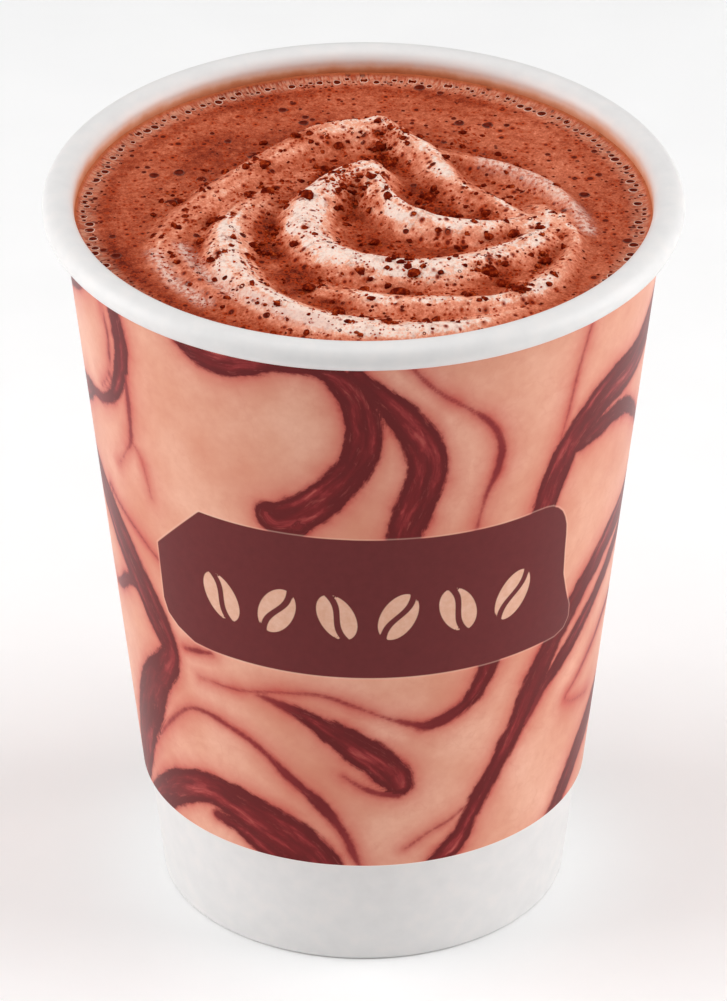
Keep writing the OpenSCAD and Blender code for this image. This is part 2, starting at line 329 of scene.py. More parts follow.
def frothedChocolate(name, bumpStrength):
    # Milky chocolate whisked to a froth. The same recipe serves the drink and the cream on it:
    # tone goes from the bare drink, through stained cream, to the palest cream on the crests, with painted
    # light and shade laid into it.
    material, add, place = startMaterial(name)
    layers = ("tone", "dust", "wet", "wallGap", "turn")
    laid = {layer: add("Attribute", {"attribute_name": layer}, "Fac") for layer in layers}
    # micro froth: bubbles of a few tenths of a millimetre make a fine, broken mottle
    fine = add("TexNoise", {"Vector": place, "Scale": 2.4, "Detail": 5, "Roughness": 0.75})
    middle = add("TexNoise", {"Vector": place, "Scale": 0.75, "Detail": 3, "Roughness": 0.55})
    broad = add("TexNoise", {"Vector": place, "Scale": 0.16, "Detail": 3, "Roughness": 0.55})
    tone = laid["tone"]
    for mottle, strength in ((fine, 1.0), (middle, 0.5), (broad, 0.22)):
        mottle = add("Math", {"operation": "SUBTRACT", 0: mottle, 1: 0.5})
        tone = add("Math", {"operation": "MULTIPLY_ADD", 0: mottle, 1: strength, 2: tone})
    browns = [(0.0, "#5c1104"), (0.14, "#8a2e16"), (0.3, "#ae4c2f"), (0.48, "#cd6c4c"),
              (0.68, "#eb9172"), (0.86, "#fdb99b"), (1.0, "#ffe6d8")]
    colour = add("ValToRGB", {"Fac": tone, "stops": browns})

    # loose cocoa lies in soft brown clouds, each a millimetre or two across
    cloud = add("TexNoise", {"Vector": place, "Scale": 0.9, "Detail": 5, "Roughness": 0.7})
    cloud = add("MapRange", {"Value": cloud, "From Min": 0.5, "From Max": 0.68, "To Max": 0.75})
    dusty = add("Math", {"operation": "ADD", "use_clamp": True, 0: laid["dust"], 1: 0.15})
    cloud = add("Math", {"operation": "MULTIPLY", 0: cloud, 1: dusty})
    colour = add("MixRGB", {"Fac": cloud, "Color1": colour, "Color2": "#a34a2c"})

    # pits: burst bubbles and cocoa grains, as dark dots of 0.15 to 0.7 mm; a grain's dark is its own
    # colour, a burst bubble's dark is painted shade in its pit
    for scale, size, share, shade in (
            (0.5, 0.22, 0.22, "#520a02"), (0.85, 0.237, 0.34, "#681204"), (1.5, 0.237, 0.24, "#7c1e08")):
        cells = add("TexVoronoi", {"voronoi_dimensions": "2D", "Vector": place, "Scale": scale})
        cells = cells.node.outputs
        chance = add("SeparateColor", {"Color": cells["Color"]}).node.outputs
        radius = add("Math", {"operation": "MULTIPLY_ADD", 0: chance["Red"], 1: size, 2: size * 0.35})
        depth = add("Math", {"operation": "SUBTRACT", 0: radius, 1: cells["Distance"]})
        density = add("Math", {"operation": "MULTIPLY_ADD", 0: laid["dust"], 1: 0.25, 2: share})
        density = add("Math", {"operation": "MULTIPLY_ADD", 0: laid["tone"], 1: -0.32, 2: density})
        chosen = add("Math", {"operation": "GREATER_THAN", 0: density, 1: chance["Green"]})
        # each grain has wetted a little ring of froth around itself
        for start, end, strength, tint in ((-0.2, -0.018, 0.75, "#b8441e"), (0, 0.111, 0.92, shade)):
            dot = add("MapRange", {"Value": depth, "From Min": start, "From Max": end, "To Max": strength})
            dot = add("Math", {"operation": "MULTIPLY", 0: dot, 1: chosen})
            colour = add("MixRGB", {"Fac": dot, "Color1": colour, "Color2": tint})

    # rings along the wall: a clear orange-brown film, then a froth of small bubbles drawn into strands
    wallGap = add("Math", {"operation": "DIVIDE", 0: laid["wallGap"], 1: 10.0})
    flow = add("CombineXYZ", {
        "X": add("Math", {"operation": "MULTIPLY", 0: laid["turn"], 1: 60.0}),
        "Y": add("Math", {"operation": "MULTIPLY", 0: wallGap, 1: 3.0})})
    strands = add("TexNoise", {"Vector": flow, "Scale": 2.2, "Detail": 4})
    strands = add("MapRange", {
        "Value": strands, "From Min": 0.42, "From Max": 0.6, "To Min": 0.07, "To Max": 0.7})
    band = [(0.02, 0.0), (0.07, 1.0), (0.2, 0.9), (0.34, 0.0)]
    froth = add("ValToRGB", {"Fac": wallGap, "stops": band})
    froth = add("Math", {"operation": "MULTIPLY", 0: froth, 1: strands})
    colour = add("MixRGB", {"Fac": froth, "Color1": colour, "Color2": "#dfa489"})
    film = add("ValToRGB", {"Fac": wallGap, "stops": [(0.0, 0.8), (0.015, 0.72), (0.04, 0.0)]})
    colour = add("MixRGB", {"Fac": film, "Color1": colour, "Color2": "#bb6640"})

    # wet places: froth drained away, so smoother and shinier; their milky pink is a painted sheen and the
    # pale streaks a painted highlight
    milkyGlint = add("Math", {"operation": "MULTIPLY", 0: laid["wet"], 1: 0.45})
    colour = add("MixRGB", {"Fac": milkyGlint, "Color1": colour, "Color2": "#cf8c7e"})
    wet = add("TexNoise", {"Vector": place, "Scale": 1.6, "Detail": 4, "Roughness": 0.65})
    wet = add("MapRange", {"Value": wet, "From Min": 0.45, "From Max": 0.56})
    wet = add("Math", {"operation": "MULTIPLY", 0: wet, 1: laid["wet"]})
    # painted highlight: pale pink streaks over the wet places
    milkyGlint = add("Math", {"operation": "MULTIPLY", 0: wet, 1: 0.8})
    colour = add("MixRGB", {"Fac": milkyGlint, "Color1": colour, "Color2": "#ffdccb"})
    dull = add("MapRange", {
        "Value": fine, "From Min": 0.35, "From Max": 0.65, "To Min": 0.3, "To Max": 0.55})
    dull = add("MixRGB", {"Fac": wet, "Color1": dull, "Color2": (0.2, 0.2, 0.2, 1)})
    shine = add("Math", {"operation": "MULTIPLY_ADD", 0: wet, 1: 0.6, 2: 0.08})
    tiny = add("TexNoise", {"Vector": place, "Scale": 6.0, "Detail": 3, "Roughness": 0.55})
    relief = add("Math", {"operation": "MULTIPLY_ADD", 0: tiny, 1: 0.5, 2: fine})
    bump = add("Bump", {"Height": relief, "Strength": bumpStrength, "Distance": 0.0003})
    whisked = {
        "Base Color": colour, "Roughness": dull, "IOR": 1.38, "Specular IOR Level": shine, "Normal": bump}
    add("OutputMaterial", {"Surface": add("BsdfPrincipled", whisked)})
    return material


def bubbleFilm():
    # A burst or filmed bubble: a wet rim, pale partly as froth and partly as painted highlight, round a
    # glossy hollow whose dark is painted shade.
    material, add, place = startMaterial("bubbleFilm")
    rim = add("Attribute", {"attribute_name": "rim"}, "Fac")
    shade = add("TexNoise", {"Vector": place, "Scale": 1.4, "Detail": 3})
    hollowShade = add("ValToRGB", {"Fac": shade, "stops": [(0.3, "#4a0b03"), (0.7, "#74200c")]})
    colour = add("MixRGB", {"Fac": rim, "Color1": hollowShade, "Color2": "#f2c1ac"})
    shine = add("Math", {"operation": "MULTIPLY_ADD", 0: rim, 1: 0.5, 2: 0.05})
    wetFilm = {"Base Color": colour, "Roughness": 0.2, "IOR": 1.36, "Specular IOR Level": shine}
    add("OutputMaterial", {"Surface": add("BsdfPrincipled", wetFilm)})
    return material


def crushedCocoa(name, browns):
    # Crumbs of cocoa and dark chocolate: matt, broken faces from near black to red-brown.
    material, add, place = startMaterial(name)
    patch = add("TexNoise", {"Vector": place, "Scale": 1.3, "Detail": 5, "Roughness": 0.7})
    colour = add("ValToRGB", {"Fac": patch, "stops": browns})
    bump = add("Bump", {"Height": patch, "Strength": 0.6, "Distance": 0.00012})
    matt = {"Base Color": colour, "Roughness": 0.6, "IOR": 1.46, "Specular IOR Level": 0.02, "Normal": bump}
    add("OutputMaterial", {"Surface": add("BsdfPrincipled", matt)})
    return material


def whiteStudioPaper():
    # Matt white background paper.
    material, add, place = startMaterial("studioPaper")
    grain = add("TexNoise", {"Vector": place, "Scale": 0.05, "Detail": 3})
    colour = add("ValToRGB", {"Fac": grain, "stops": [(0.3, "#fafafa"), (0.7, "#fdfdfd")]})
    add("OutputMaterial", {"Surface": add("BsdfPrincipled", {"Base Color": colour, "Roughness": 0.8})})
    return material


def cupProfile():
    # section of the cup's wall, from the hem round the outside, the roll and the lining
    board = cup["board"]
    a, b = cup["curlWidth"] / 2, cup["curlHeight"] / 2
    tail = math.radians(-90 - cup["curlTail"])
    points = []

    def arc(cx, cz, ra, rb, start, end, steps):
        for i in range(steps + 1):
            t = start + (end - start) * i / steps
            points.append((cx + ra * math.cos(t), cz + rb * math.sin(t)))

    hemFace = wallIn(0) - cup["skirtGap"]
    # turned-in foot, rounded where the board is folded
    arc(hemFace, board, board, board, math.pi, math.pi * 1.5, 4)
    arc(footR - board, board, board, board, -math.pi / 2, 0, 6)
    for z in np.linspace(board, curlZ - cup["curlLead"], 25)[1:-1]:
        points.append((wallOut(z), z))
    points.append((wallOut(curlZ - 2.4), curlZ - 2.4))
    # inner skin of the roll, then its outer skin back over the top
    arc(curlR, curlZ, a - board, b - board, math.pi, tail, 40)
    arc(curlR, curlZ, a, b, tail, math.pi, 56)
    # rows close together down to just under the drink, then none until the hem
    for z in np.linspace(curlZ, level - cup["lining"], 31)[1:-1]:
        points.append((wallIn(z), z))
    points.append((wallIn(cup["hemHeight"] + 1), cup["hemHeight"] + 1))
    points.append((wallIn(board), board))
    points.append((wallIn(board) - cup["skirtGap"], board))
    points.append((wallIn(cup["hemHeight"]) - cup["skirtGap"], cup["hemHeight"]))
    points.append((wallIn(cup["hemHeight"]) - cup["skirtGap"] - board, cup["hemHeight"]))
    return np.array(points)


profile = cupProfile()
turns = np.linspace(0, 2 * math.pi, cup["columns"], endpoint=False)
seamStart = math.radians(cup["seamAngle"] - 90)
seamEdges = [seamStart - 0.0015, seamStart + 0.0015]
turns = np.sort(np.append(turns, seamEdges))
seamSpan = cup["seamWidth"] / ((footR + rimR) / 2)
sinceSeam = (turns - seamStart) % (2 * math.pi)
lap = np.where(sinceSeam < seamSpan, 1 - smooth((sinceSeam / seamSpan - 0.75) * 4), 0)
radius, height = profile[:, 0][:, None], profile[:, 1][:, None]
# the lap thickens the outside of the wall between the foot and the roll
isOuter = (radius > wallOut(height) - 0.02) & (height < curlZ - 2) & (height > 0.2)
bulge = np.where(isOuter, cup["seamStep"] * lap[None, :], 0)
outR = radius + bulge
points = np.stack([outR * np.cos(turns), outR * np.sin(turns), height + 0 * turns], -1)
isLining = (radius < curlR - 1.2) & (radius < wallIn(height) + 0.6) & (height > level - cup["lining"] - 1)
# the outside of the wall comes first along the profile
isLining = isLining & (np.arange(len(profile))[:, None] > len(profile) * 0.45)
aboveDrink = np.where(isLining, (height - level) / cup["filmReach"], 1) + 0 * turns
# the film is painted darkest at the back, as shade, lighter to the left and lightest on the right
filmDepth = 0.3 + 0.7 * np.maximum(np.sin(turns), 0) ** 2 - 0.3 * np.maximum(np.cos(turns), 0) + 0 * height
film = {"aboveDrink": np.clip(aboveDrink, 0, 1).ravel(), "filmDepth": np.clip(filmDepth, 0, 1).ravel()}
makePiece("paperCup", points.reshape(-1, 3), gridFaces(len(profile), len(turns), True),
          cupboardPaper("coatedCupBoard", True), ("cup_wall",), film)

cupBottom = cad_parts["cup_bottom"]
cupBottom.data.materials.clear()
cupBottom.data.materials.append(cupboardPaper("plainCupBoard", False))


sleeve = {
    "card": 0.4,
    "standLow": 0.85,
    "standHigh": 1.25,
    "lapWidth": 8.0,
    "middle": 62,         # height at which the spacing of points is measured
    "fineStep": 0.31,     # across the front
    "coarseStep": 0.95,   # round the back
    "rowStep": 0.41,
    "edgeRound": 0.14,    # wear on the cut edge, which shows the white card
}
# Main veins of the marbling. Each has points of (degrees round from the front, height, width).
veins = [
    [(-56, 104.5, 3.0), (-55, 98, 3.2), (-56.5, 93, 2.8), (-60, 88.5, 2.2), (-66, 85.3, 1.6),
     (-72, 84.4, 1.8), (-80, 82, 4), (-90, 79, 4.5), (-101, 78, 3), (-110, 82, 1.5)],
    [(-61.5, 104.5, 0.5), (-59.6, 99, 0.6), (-60, 95, 0.7), (-61.5, 91, 0.5), (-66, 87.5, 0.3)],
    [(-54.6, 99, 0.6), (-54.8, 88, 0.9), (-55.6, 82, 0.7), (-58, 79.5, 0.3), (-62.5, 75.5, 0.25)],
    [(-55.6, 82, 0.4), (-52.5, 79.8, 0.25), (-50.5, 74, 0.2)],
    [(-39, 105, 0.8), (-34, 103.6, 3.4), (-28, 103.2, 4.6), (-22, 104, 3.6), (-15, 104.6, 2.0),
     (-8, 104.2, 2.4), (-3.2, 101.8, 4.2), (-0.4, 97, 4.8), (0, 92, 5), (-2.4, 87.2, 5),
     (-7.5, 83, 5.4), (-13, 79.6, 6), (-17.5, 78.2, 5.6), (-19, 78.6, 4.6)],
    [(-13, 80, 5), (-14, 77.6, 4.4)],
    [(-1.5, 104, 2.2), (4, 99.8, 3.2), (8.5, 95.5, 4.8), (12, 91, 5.6), (12.8, 86, 5.6),
     (10.6, 81, 5.6), (8.4, 76, 5.2), (8, 72, 5)],
    [(9, 105, 0.5), (14, 100.5, 0.6), (20, 97, 0.5), (25, 93.8, 0.9), (28, 90.2, 0.9), (28.4, 86, 1.2),
     (25.6, 80.5, 0.6), (24, 75, 0.4)],
    [(49, 104, 0.35), (46.5, 97, 0.5), (44.8, 90, 0.4), (43, 85, 0.25)],
    [(40.5, 74, 4.2), (42.6, 78.6, 4.8), (46, 83.8, 5), (51.5, 87.4, 5.6), (58, 89.6, 6.4),
     (66, 90.2, 6.6), (74, 91.2, 7), (84, 93.5, 8), (96, 93, 7), (108, 88, 5), (118, 84, 2.4)],
    [(49, 83, 2), (55, 83.8, 3), (62, 84.2, 3), (69, 83, 2.4), (76, 79.6, 1.8), (84, 75, 1.2)],
    [(92, 66, 6), (82, 63.6, 5.4), (71, 61.8, 4.6), (62, 58.4, 4), (54, 54, 4), (48, 49.4, 4),
     (44, 45, 4.4), (40, 39, 3.6), (35, 33, 3), (30.4, 28, 2.8), (26.4, 22.6, 2.8), (23, 19.6, 3.2),
     (18, 17, 2.4)],
    [(84, 59, 3.4), (75, 56.6, 3.2), (66, 52.6, 2.6), (56, 47.4, 3), (47.5, 42.6, 1.8), (42, 37.5, 1)],
    [(88, 47.5, 1.4), (77, 46.2, 1.1), (69, 43, 0.8), (61, 39.4, 0.5), (57, 37.6, 0.3), (61, 35.8, 0.3),
     (70, 34.4, 0.3)],
    [(56, 16.5, 2.6), (62, 19.8, 3.6), (68, 24, 4.6), (75, 27.6, 5.6), (84, 30, 6), (96, 28.5, 4.4),
     (106, 24, 2)],
    [(30.5, 52.5, 3.4), (28.8, 49, 3), (25.6, 45.6, 2.3), (20.4, 43.2, 1.7), (15, 42.2, 1.5),
     (11, 42.8, 0.9), (5, 44.2, 0.5), (-2, 46.2, 0.55), (-10, 47.9, 0.5), (-20, 47.4, 0.4),
     (-30, 46.1, 0.45), (-41, 45.8, 0.3)],
    [(-25.5, 46.2, 0.5), (-18, 45, 1.4), (-11, 43, 2.8), (-4, 40, 4.6), (3, 36.6, 5.4),
     (7.4, 33.6, 4.8), (9, 31.8, 3.4)],
    [(-5, 33.8, 0.4), (-0.5, 31.8, 0.7), (4, 30.6, 0.9), (8.4, 30.4, 1.2)],
    [(-63, 28, 0.3), (-56, 33.2, 0.5), (-47, 38.6, 0.6), (-40, 39.8, 0.8), (-32, 38.6, 0.8),
     (-25, 36.4, 0.9), (-18, 32.4, 1.3), (-11, 28.6, 1.7), (-5.5, 24, 1.2), (-2, 19, 0.8),
     (-0.6, 17, 0.6)],
    [(-72, 14, 5), (-65, 18, 5), (-57, 21.6, 5), (-49.5, 24.4, 5.4), (-42, 25.8, 5.4), (-34, 25.4, 6.2),
     (-26, 23.6, 7), (-19, 21.4, 7.6), (-13, 18.6, 6.6), (-9, 15.5, 5)],
    [(-40, 21.8, 1.6), (-33, 21, 2.4), (-26, 19, 3.6), (-21, 17, 4)],
    [(-96, 70, 5), (-84, 68.6, 6.4), (-73, 65, 6.6), (-64.5, 60, 6.4), (-58, 55.4, 5.6), (-53.2, 51, 5),
     (-50.4, 47.6, 3.6), (-53, 44.4, 4.6), (-58.4, 40.4, 6), (-63.6, 35, 7), (-68.6, 29.6, 6.4),
     (-74, 23.6, 6), (-80, 17, 5)],
    [(-79, 50, 1), (-73, 51.8, 1.6), (-67, 54.6, 1.8), (-60, 56, 2)],
    [(-70, 69.4, 0.7), (-65.5, 67.8, 0.7), (-58, 65.8, 0.6), (-51, 63.4, 0.4)],
    [(10.6, 20.4, 0.3), (17, 23, 0.4), (22, 24.4, 0.4), (27, 26.6, 0.4)],
    [(-45, 49.8, 0.5), (-41, 50.4, 0.9), (-37, 51, 0.6)],
    [(-86, 98, 2.4), (-79, 99.6, 2), (-73, 101.6, 1.6), (-66, 104, 0.6)],
    # the back, which carries the same kinds of vein round from both sides
    [(118, 84, 2.2), (128, 76, 3.6), (140, 71, 5), (152, 71.6, 4.4), (161, 77, 3), (165, 84, 1.8),
     (160, 90, 1)],
    [(92, 66, 5), (104, 67.6, 4), (114, 64, 3.2), (121, 57, 3.6), (124, 49, 4.4), (121, 41, 4),
     (113, 36, 2.6), (104, 35.4, 1.2)],
    [(130, 104, 3.4), (141, 100, 4.8), (150, 94.6, 4.6), (162, 93, 3.6), (174, 96.4, 4.6),
     (186, 101, 5), (198, 104, 3)],
    [(132, 30, 0.6), (142, 38, 1.8), (152, 44.6, 3.4), (163, 47.4, 5), (174, 45, 5.4), (182, 39, 4),
     (184, 32, 2)],
    [(146, 16, 4.4), (156, 23, 5.4), (168, 27.6, 6), (180, 26.6, 5), (190, 21.4, 3.4), (196, 16, 2)],
    [(190, 62, 0.5), (200, 67.4, 1.4), (212, 69.6, 3), (224, 67.8, 4.6), (236, 67.4, 5), (250, 70, 5),
     (264, 70, 5)],
    [(205, 50, 0.4), (214, 54.6, 1.8), (224, 55.4, 3), (232, 51, 3.6), (235, 44, 3), (231, 37, 1.6),
     (224, 33, 0.6)],
    [(205, 16, 3.6), (214, 24, 4.6), (224, 29, 4.6), (236, 30, 3.4), (247, 26, 2), (255, 20, 1)],
    [(205, 92, 0.5), (216, 88, 0.9), (228, 88.6, 1), (240, 86, 1.8), (250, 82, 2)],
    [(139, 58, 0.4), (152, 59.6, 0.7), (166, 57.6, 0.6), (180, 59.6, 0.6), (192, 56.6, 0.4)],
    [(166, 104, 0.5), (176, 98, 0.6), (188, 93.6, 0.5), (198, 92.4, 0.4), (206, 96, 0.4)],
    [(140, 88, 0.4), (150, 84.6, 0.6), (168, 82, 0.6), (182, 77, 0.8), (196, 74.4, 0.6), (208, 78, 0.4)],
    [(194, 43, 0.4), (204, 39.6, 0.7), (212, 42, 0.6), (218, 47, 0.4)],
    [(128, 67, 0.4), (133, 60, 0.6), (136, 51, 0.6), (133, 42, 0.5), (137, 33, 0.3)],
    [(236, 60, 0.4), (242, 54, 0.8), (245, 45, 0.9), (252, 37, 0.5), (262, 34, 0.4)],
    [(236, 99, 0.5), (248, 96.4, 0.8), (262, 92, 0.7), (272, 90, 0.5)],
    [(158, 37, 0.3), (170, 35.4, 0.5), (188, 32, 0.6), (199, 26, 0.4)],
    [(100, 56, 0.4), (110, 52.4, 0.7), (116, 46, 0.5), (112, 42, 0.3)],
]
panelOutline = [(-50.3, 66.6), (-36.6, 75.7), (-5, 75.6), (30, 75.1), (39, 75.1), (41.5, 75),
    (43.4, 74.7), (45.2, 74), (46.7, 73), (47.8, 71.7), (48.6, 70.1), (48.9, 68.2), (49.1, 65.4),
    (49.6, 61.4), (51.3, 58), (53.2, 54.8), (53.4, 52.8), (52, 51.4), (49, 50.8), (30, 51), (0, 51.3),
    (-36, 51.6), (-41.5, 51.8), (-46.4, 53.2), (-49.4, 54.8), (-50.5, 57)]
motif = {
    "beans": 6, "from": -32.6, "to": 34.4,  # degrees round from the front
    "middle": 61.9, "length": 8.4, "width": 5.2, "lean": 24, "slit": 0.42,
}


def sleeveR(z):
    share = (z - sleeveLow) / (curlZ - cup["curlHeight"] / 2 - sleeveLow)
    return wallOut(z) + sleeve["standLow"] + share * (sleeve["standHigh"] - sleeve["standLow"])


def sleeveGap(turnA, zA, turnB, zB):
    # distances round and up the sleeve between two places
    across = (turnA - turnB + 180) % 360 - 180
    return np.radians(across) * sleeveR((zA + zB) / 2), zA - zB


def printLayers(turn, z):
    edge = np.full(turn.shape, 20.0)
    alongVein = np.zeros(turn.shape)
    acrossVein = np.zeros(turn.shape)
    widthHere = np.zeros(turn.shape)
    for number, vein in enumerate(veins):
        vein = np.array(vein, float)
        steps = 14 * (len(vein) - 1)
        path = alongList(vein, np.linspace(0, 1, steps + 1))
        pieceGaps = sleeveGap(path[1:, 0], path[1:, 1], path[:-1, 0], path[:-1, 1])
        start = np.concatenate([[0], np.cumsum(np.hypot(*pieceGaps))])
        for i in range(steps):
            reach = 8 + path[i, 2] / 2
            gx, gz = sleeveGap(turn, z, path[i, 0], path[i, 1])
            near = np.flatnonzero((np.abs(gx) < reach) & (np.abs(gz) < reach))
            if not len(near):
                continue
            dx, dz = sleeveGap(path[i + 1, 0], path[i + 1, 1], path[i, 0], path[i, 1])
            length = max(math.hypot(dx, dz), 1e-6)
            s = np.clip((gx[near] * dx + gz[near] * dz) / length ** 2, 0, 1)
            offX, offZ = gx[near] - s * dx, gz[near] - s * dz
            width = path[i, 2] + s * (path[i + 1, 2] - path[i, 2])
            away = np.hypot(offX, offZ)
            inside = away - width / 2
            better = inside < edge[near]
            hit = near[better]
            edge[hit] = inside[better]
            alongVein[hit] = (start[i] + s * length)[better] + 37 * number
            acrossVein[hit] = (away * np.sign(offX * dz - offZ * dx))[better] + 11 * number
            widthHere[hit] = width[better]
    return edge, alongVein, acrossVein, widthHere


def outlineDistance(turn, z, outline):
    # distance to a closed outline on the sleeve, negative inside it
    away = np.full(turn.shape, 50.0)
    inside = np.zeros(turn.shape, bool)
    for (turnA, zA), (turnB, zB) in zip(outline, outline[1:] + outline[:1]):
        gx, gz = sleeveGap(turn, z, turnA, zA)
        dx, dz = sleeveGap(np.float64(turnB), zB, turnA, zA)
        s = np.clip((gx * dx + gz * dz) / (dx * dx + dz * dz), 0, 1)
        away = np.minimum(away, np.hypot(gx - s * dx, gz - s * dz))
        crosses = (z > zA) != (z > zB)
        rise = np.where(crosses, (z - zA) / (zB - zA + 1e-9), 0)
        inside ^= crosses & (turn < turnA + rise * (turnB - turnA))
    return np.where(inside, -away, away)


def motifDistance(turn, z):
    # a plain row of cocoa beans: ovals that lean, each split by a curved slit
    nearest = np.full(turn.shape, 50.0)
    for i in range(motif["beans"]):
        middle = motif["from"] + (motif["to"] - motif["from"]) * i / (motif["beans"] - 1)
        gx, gz = sleeveGap(turn, z, middle, motif["middle"])
        lean = math.radians(motif["lean"] if i % 2 else -motif["lean"])
        u = gx * math.cos(lean) - gz * math.sin(lean)
        v = gx * math.sin(lean) + gz * math.cos(lean)
        a, b = motif["width"] / 2, motif["length"] / 2
        k = np.hypot(u / a, v / b)
        oval = (k - 1) * np.hypot(u, v) / np.maximum(k, 1e-6)
        slit = motif["slit"] - np.abs(u - 0.7 * np.sin(v / b * math.pi * 0.8))
        nearest = np.minimum(nearest, np.maximum(oval, slit))
    return nearest


def sleeveColumns():
    # fine steps across the front, coarse ones round the back, and a sharp edge at each side of the lap
    fine = math.degrees(sleeve["fineStep"] / sleeveR(sleeve["middle"]))
    coarse = math.degrees(sleeve["coarseStep"] / sleeveR(sleeve["middle"]))
    lapHalf = math.degrees(sleeve["lapWidth"] / sleeveR(sleeve["middle"])) / 2
    lapLeft, lapRight = 180 - lapHalf, 180 + lapHalf
    marks = [-60, 60, lapLeft - 0.05, lapLeft + 0.05, lapRight - 0.05, lapRight + 0.05, 300]
    steps = [fine, coarse, 0.1, coarse, 0.1, coarse]
    parts = [np.linspace(a, b, max(2, int((b - a) / step) + 1))[:-1]
             for a, b, step in zip(marks, marks[1:], steps)]
    return np.concatenate(parts), lapHalf


rounding = sleeve["edgeRound"]
rowCount = int((sleeveHigh - sleeveLow - rounding) / sleeve["rowStep"]) + 1
outerRows = np.linspace(sleeveLow + rounding, sleeveHigh, rowCount)
columnTurns, lapHalf = sleeveColumns()
lowLip = sleeveLow + sleeve["card"]
# section of the card, from the turned-in lip, out round the edge, up the face and back down inside
section = [
    (wallOut(sleeveLow), sleeveLow, 0),
    (sleeveR(sleeveLow) - rounding, sleeveLow, 0),
    (sleeveR(sleeveLow) - rounding * 0.3, sleeveLow + rounding * 0.3, 0),
    (sleeveR(sleeveLow + rounding) - 0.002, sleeveLow + rounding, 0),
]
section += [(sleeveR(z), z, 1) for z in outerRows + np.where(outerRows == outerRows[0], 0.03, 0)]
section += [(sleeveR(z) - sleeve["card"], z, 0) for z in (sleeveHigh, 60, lowLip)]
section += [(wallOut(lowLip), lowLip, 0)]
section = np.array(section)
isFace = section[:, 2] > 0
lapUp = (np.abs(columnTurns - 180) < lapHalf).astype(float)
bulge = np.where(isFace[:, None], sleeve["card"] * 0.95 * lapUp[None, :], 0)
bulge *= (section[:, 1] < sleeveHigh - 0.2)[:, None]
sleeveTurn = np.radians(columnTurns - 90)
radius = section[:, 0][:, None] + bulge
allTurns = np.broadcast_to(columnTurns, (len(section), len(columnTurns)))
allHeights = np.broadcast_to(section[:, 1][:, None], allTurns.shape)
points = np.stack([radius * np.cos(sleeveTurn), radius * np.sin(sleeveTurn), allHeights], -1)
faceTurns = allTurns[isFace].ravel()
faceHeights = allHeights[isFace].ravel()
signedTurns = (faceTurns + 180) % 360 - 180
veinLayers = ("veinEdge", "veinAlong", "veinAcross", "veinWidth")
printed = dict(zip(veinLayers, printLayers(faceTurns, faceHeights)))
printed["panelEdge"] = outlineDistance(signedTurns, faceHeights, panelOutline)
printed["motifEdge"] = motifDistance(signedTurns, faceHeights)
layers = {}
for name, values in printed.items():
    full = np.full(allTurns.shape, 9.0)
    full[isFace] = values.reshape(-1, len(columnTurns))
    layers[name] = full.ravel()
layers["bareCard"] = (np.where(isFace[:, None], 0.0, 1.0) + 0 * allTurns).ravel()
makePiece("printedSleeve", points.reshape(-1, 3), gridFaces(len(section), len(columnTurns), True),
          marbledCard(), ("sleeve",), layers)


crumbs = {
    "seed": 12,
    "nibs": 330, "nibSize": (0.28, 0.72),
    "grains": 1900, "grainSize": (0.13, 0.28),
    # the largest ones: [x, y, radius]
    "large": [[-14, 11, 1.2], [-13.3, 4.6, 0.95], [-8, 0, 1.25], [-21, -3.4, 1.15], [-22.6, -8.6, 0.9],
              [-18.2, -10, 0.7], [-21, -15.5, 0.75], [-15.4, -13.4, 1.0], [-12.6, -11.6, 0.9],
              [-9.6, -11, 0.8], [-7.5, -21.4, 1.05], [-11, -22.6, 0.9], [-3.6, -28.6, 1.05],
              [-0.5, -18.6, 0.95], [0.2, -22.8, 0.8], [5, -22.8, 1.35], [7, -19.4, 1.0],
              [6.4, -16.4, 0.75], [3.5, -33, 0.8], [14.6, -25.6, 0.8], [17.3, -17.6, 1.3],
              [19.4, -19.6, 1.2], [21.6, -24, 1.1], [25.2, -13.8, 1.0], [20.8, -7.4, 1.1],
              [17, -0.6, 1.05], [9, 4.6, 1.4], [11.8, -0.8, 1.1], [1.6, -8.6, 0.9], [4.4, -13.4, 1.2],
              [-9.4, 18.6, 0.85], [-3.8, 18.2, 0.8], [2.4, 18.6, 1.1], [3.8, 14.2, 1.0],
              [-5.6, 12.2, 1.1], [-25.4, 3, 0.7]],
    # clusters: [x, y, reach, nibs, grains]
    "clusters": [[-1.8, 4, 3.6, 24, 160], [3.4, 20, 2.6, 10, 70], [3, 15.5, 2.6, 8, 50],
                 [-5.4, 11, 2.4, 8, 60], [8.6, 3.4, 1.6, 4, 10], [12, -0.6, 2.4, 6, 16],
                 [-13, -8, 2.6, 7, 40], [-20.6, -3.6, 2, 4, 16], [-11.4, 1.5, 2, 4, 16],
                 [4.4, -10.6, 2.4, 6, 20], [18, -17, 2.2, 6, 24], [6, -19.5, 2.2, 4, 20],
                 [-7, -19.6, 2.2, 5, 16], [-4, -28, 2, 3, 16], [14.6, 22, 3, 2, 40],
                 [25, -14, 1.4, 3, 10], [21.4, -24, 1.4, 3, 16]],
}


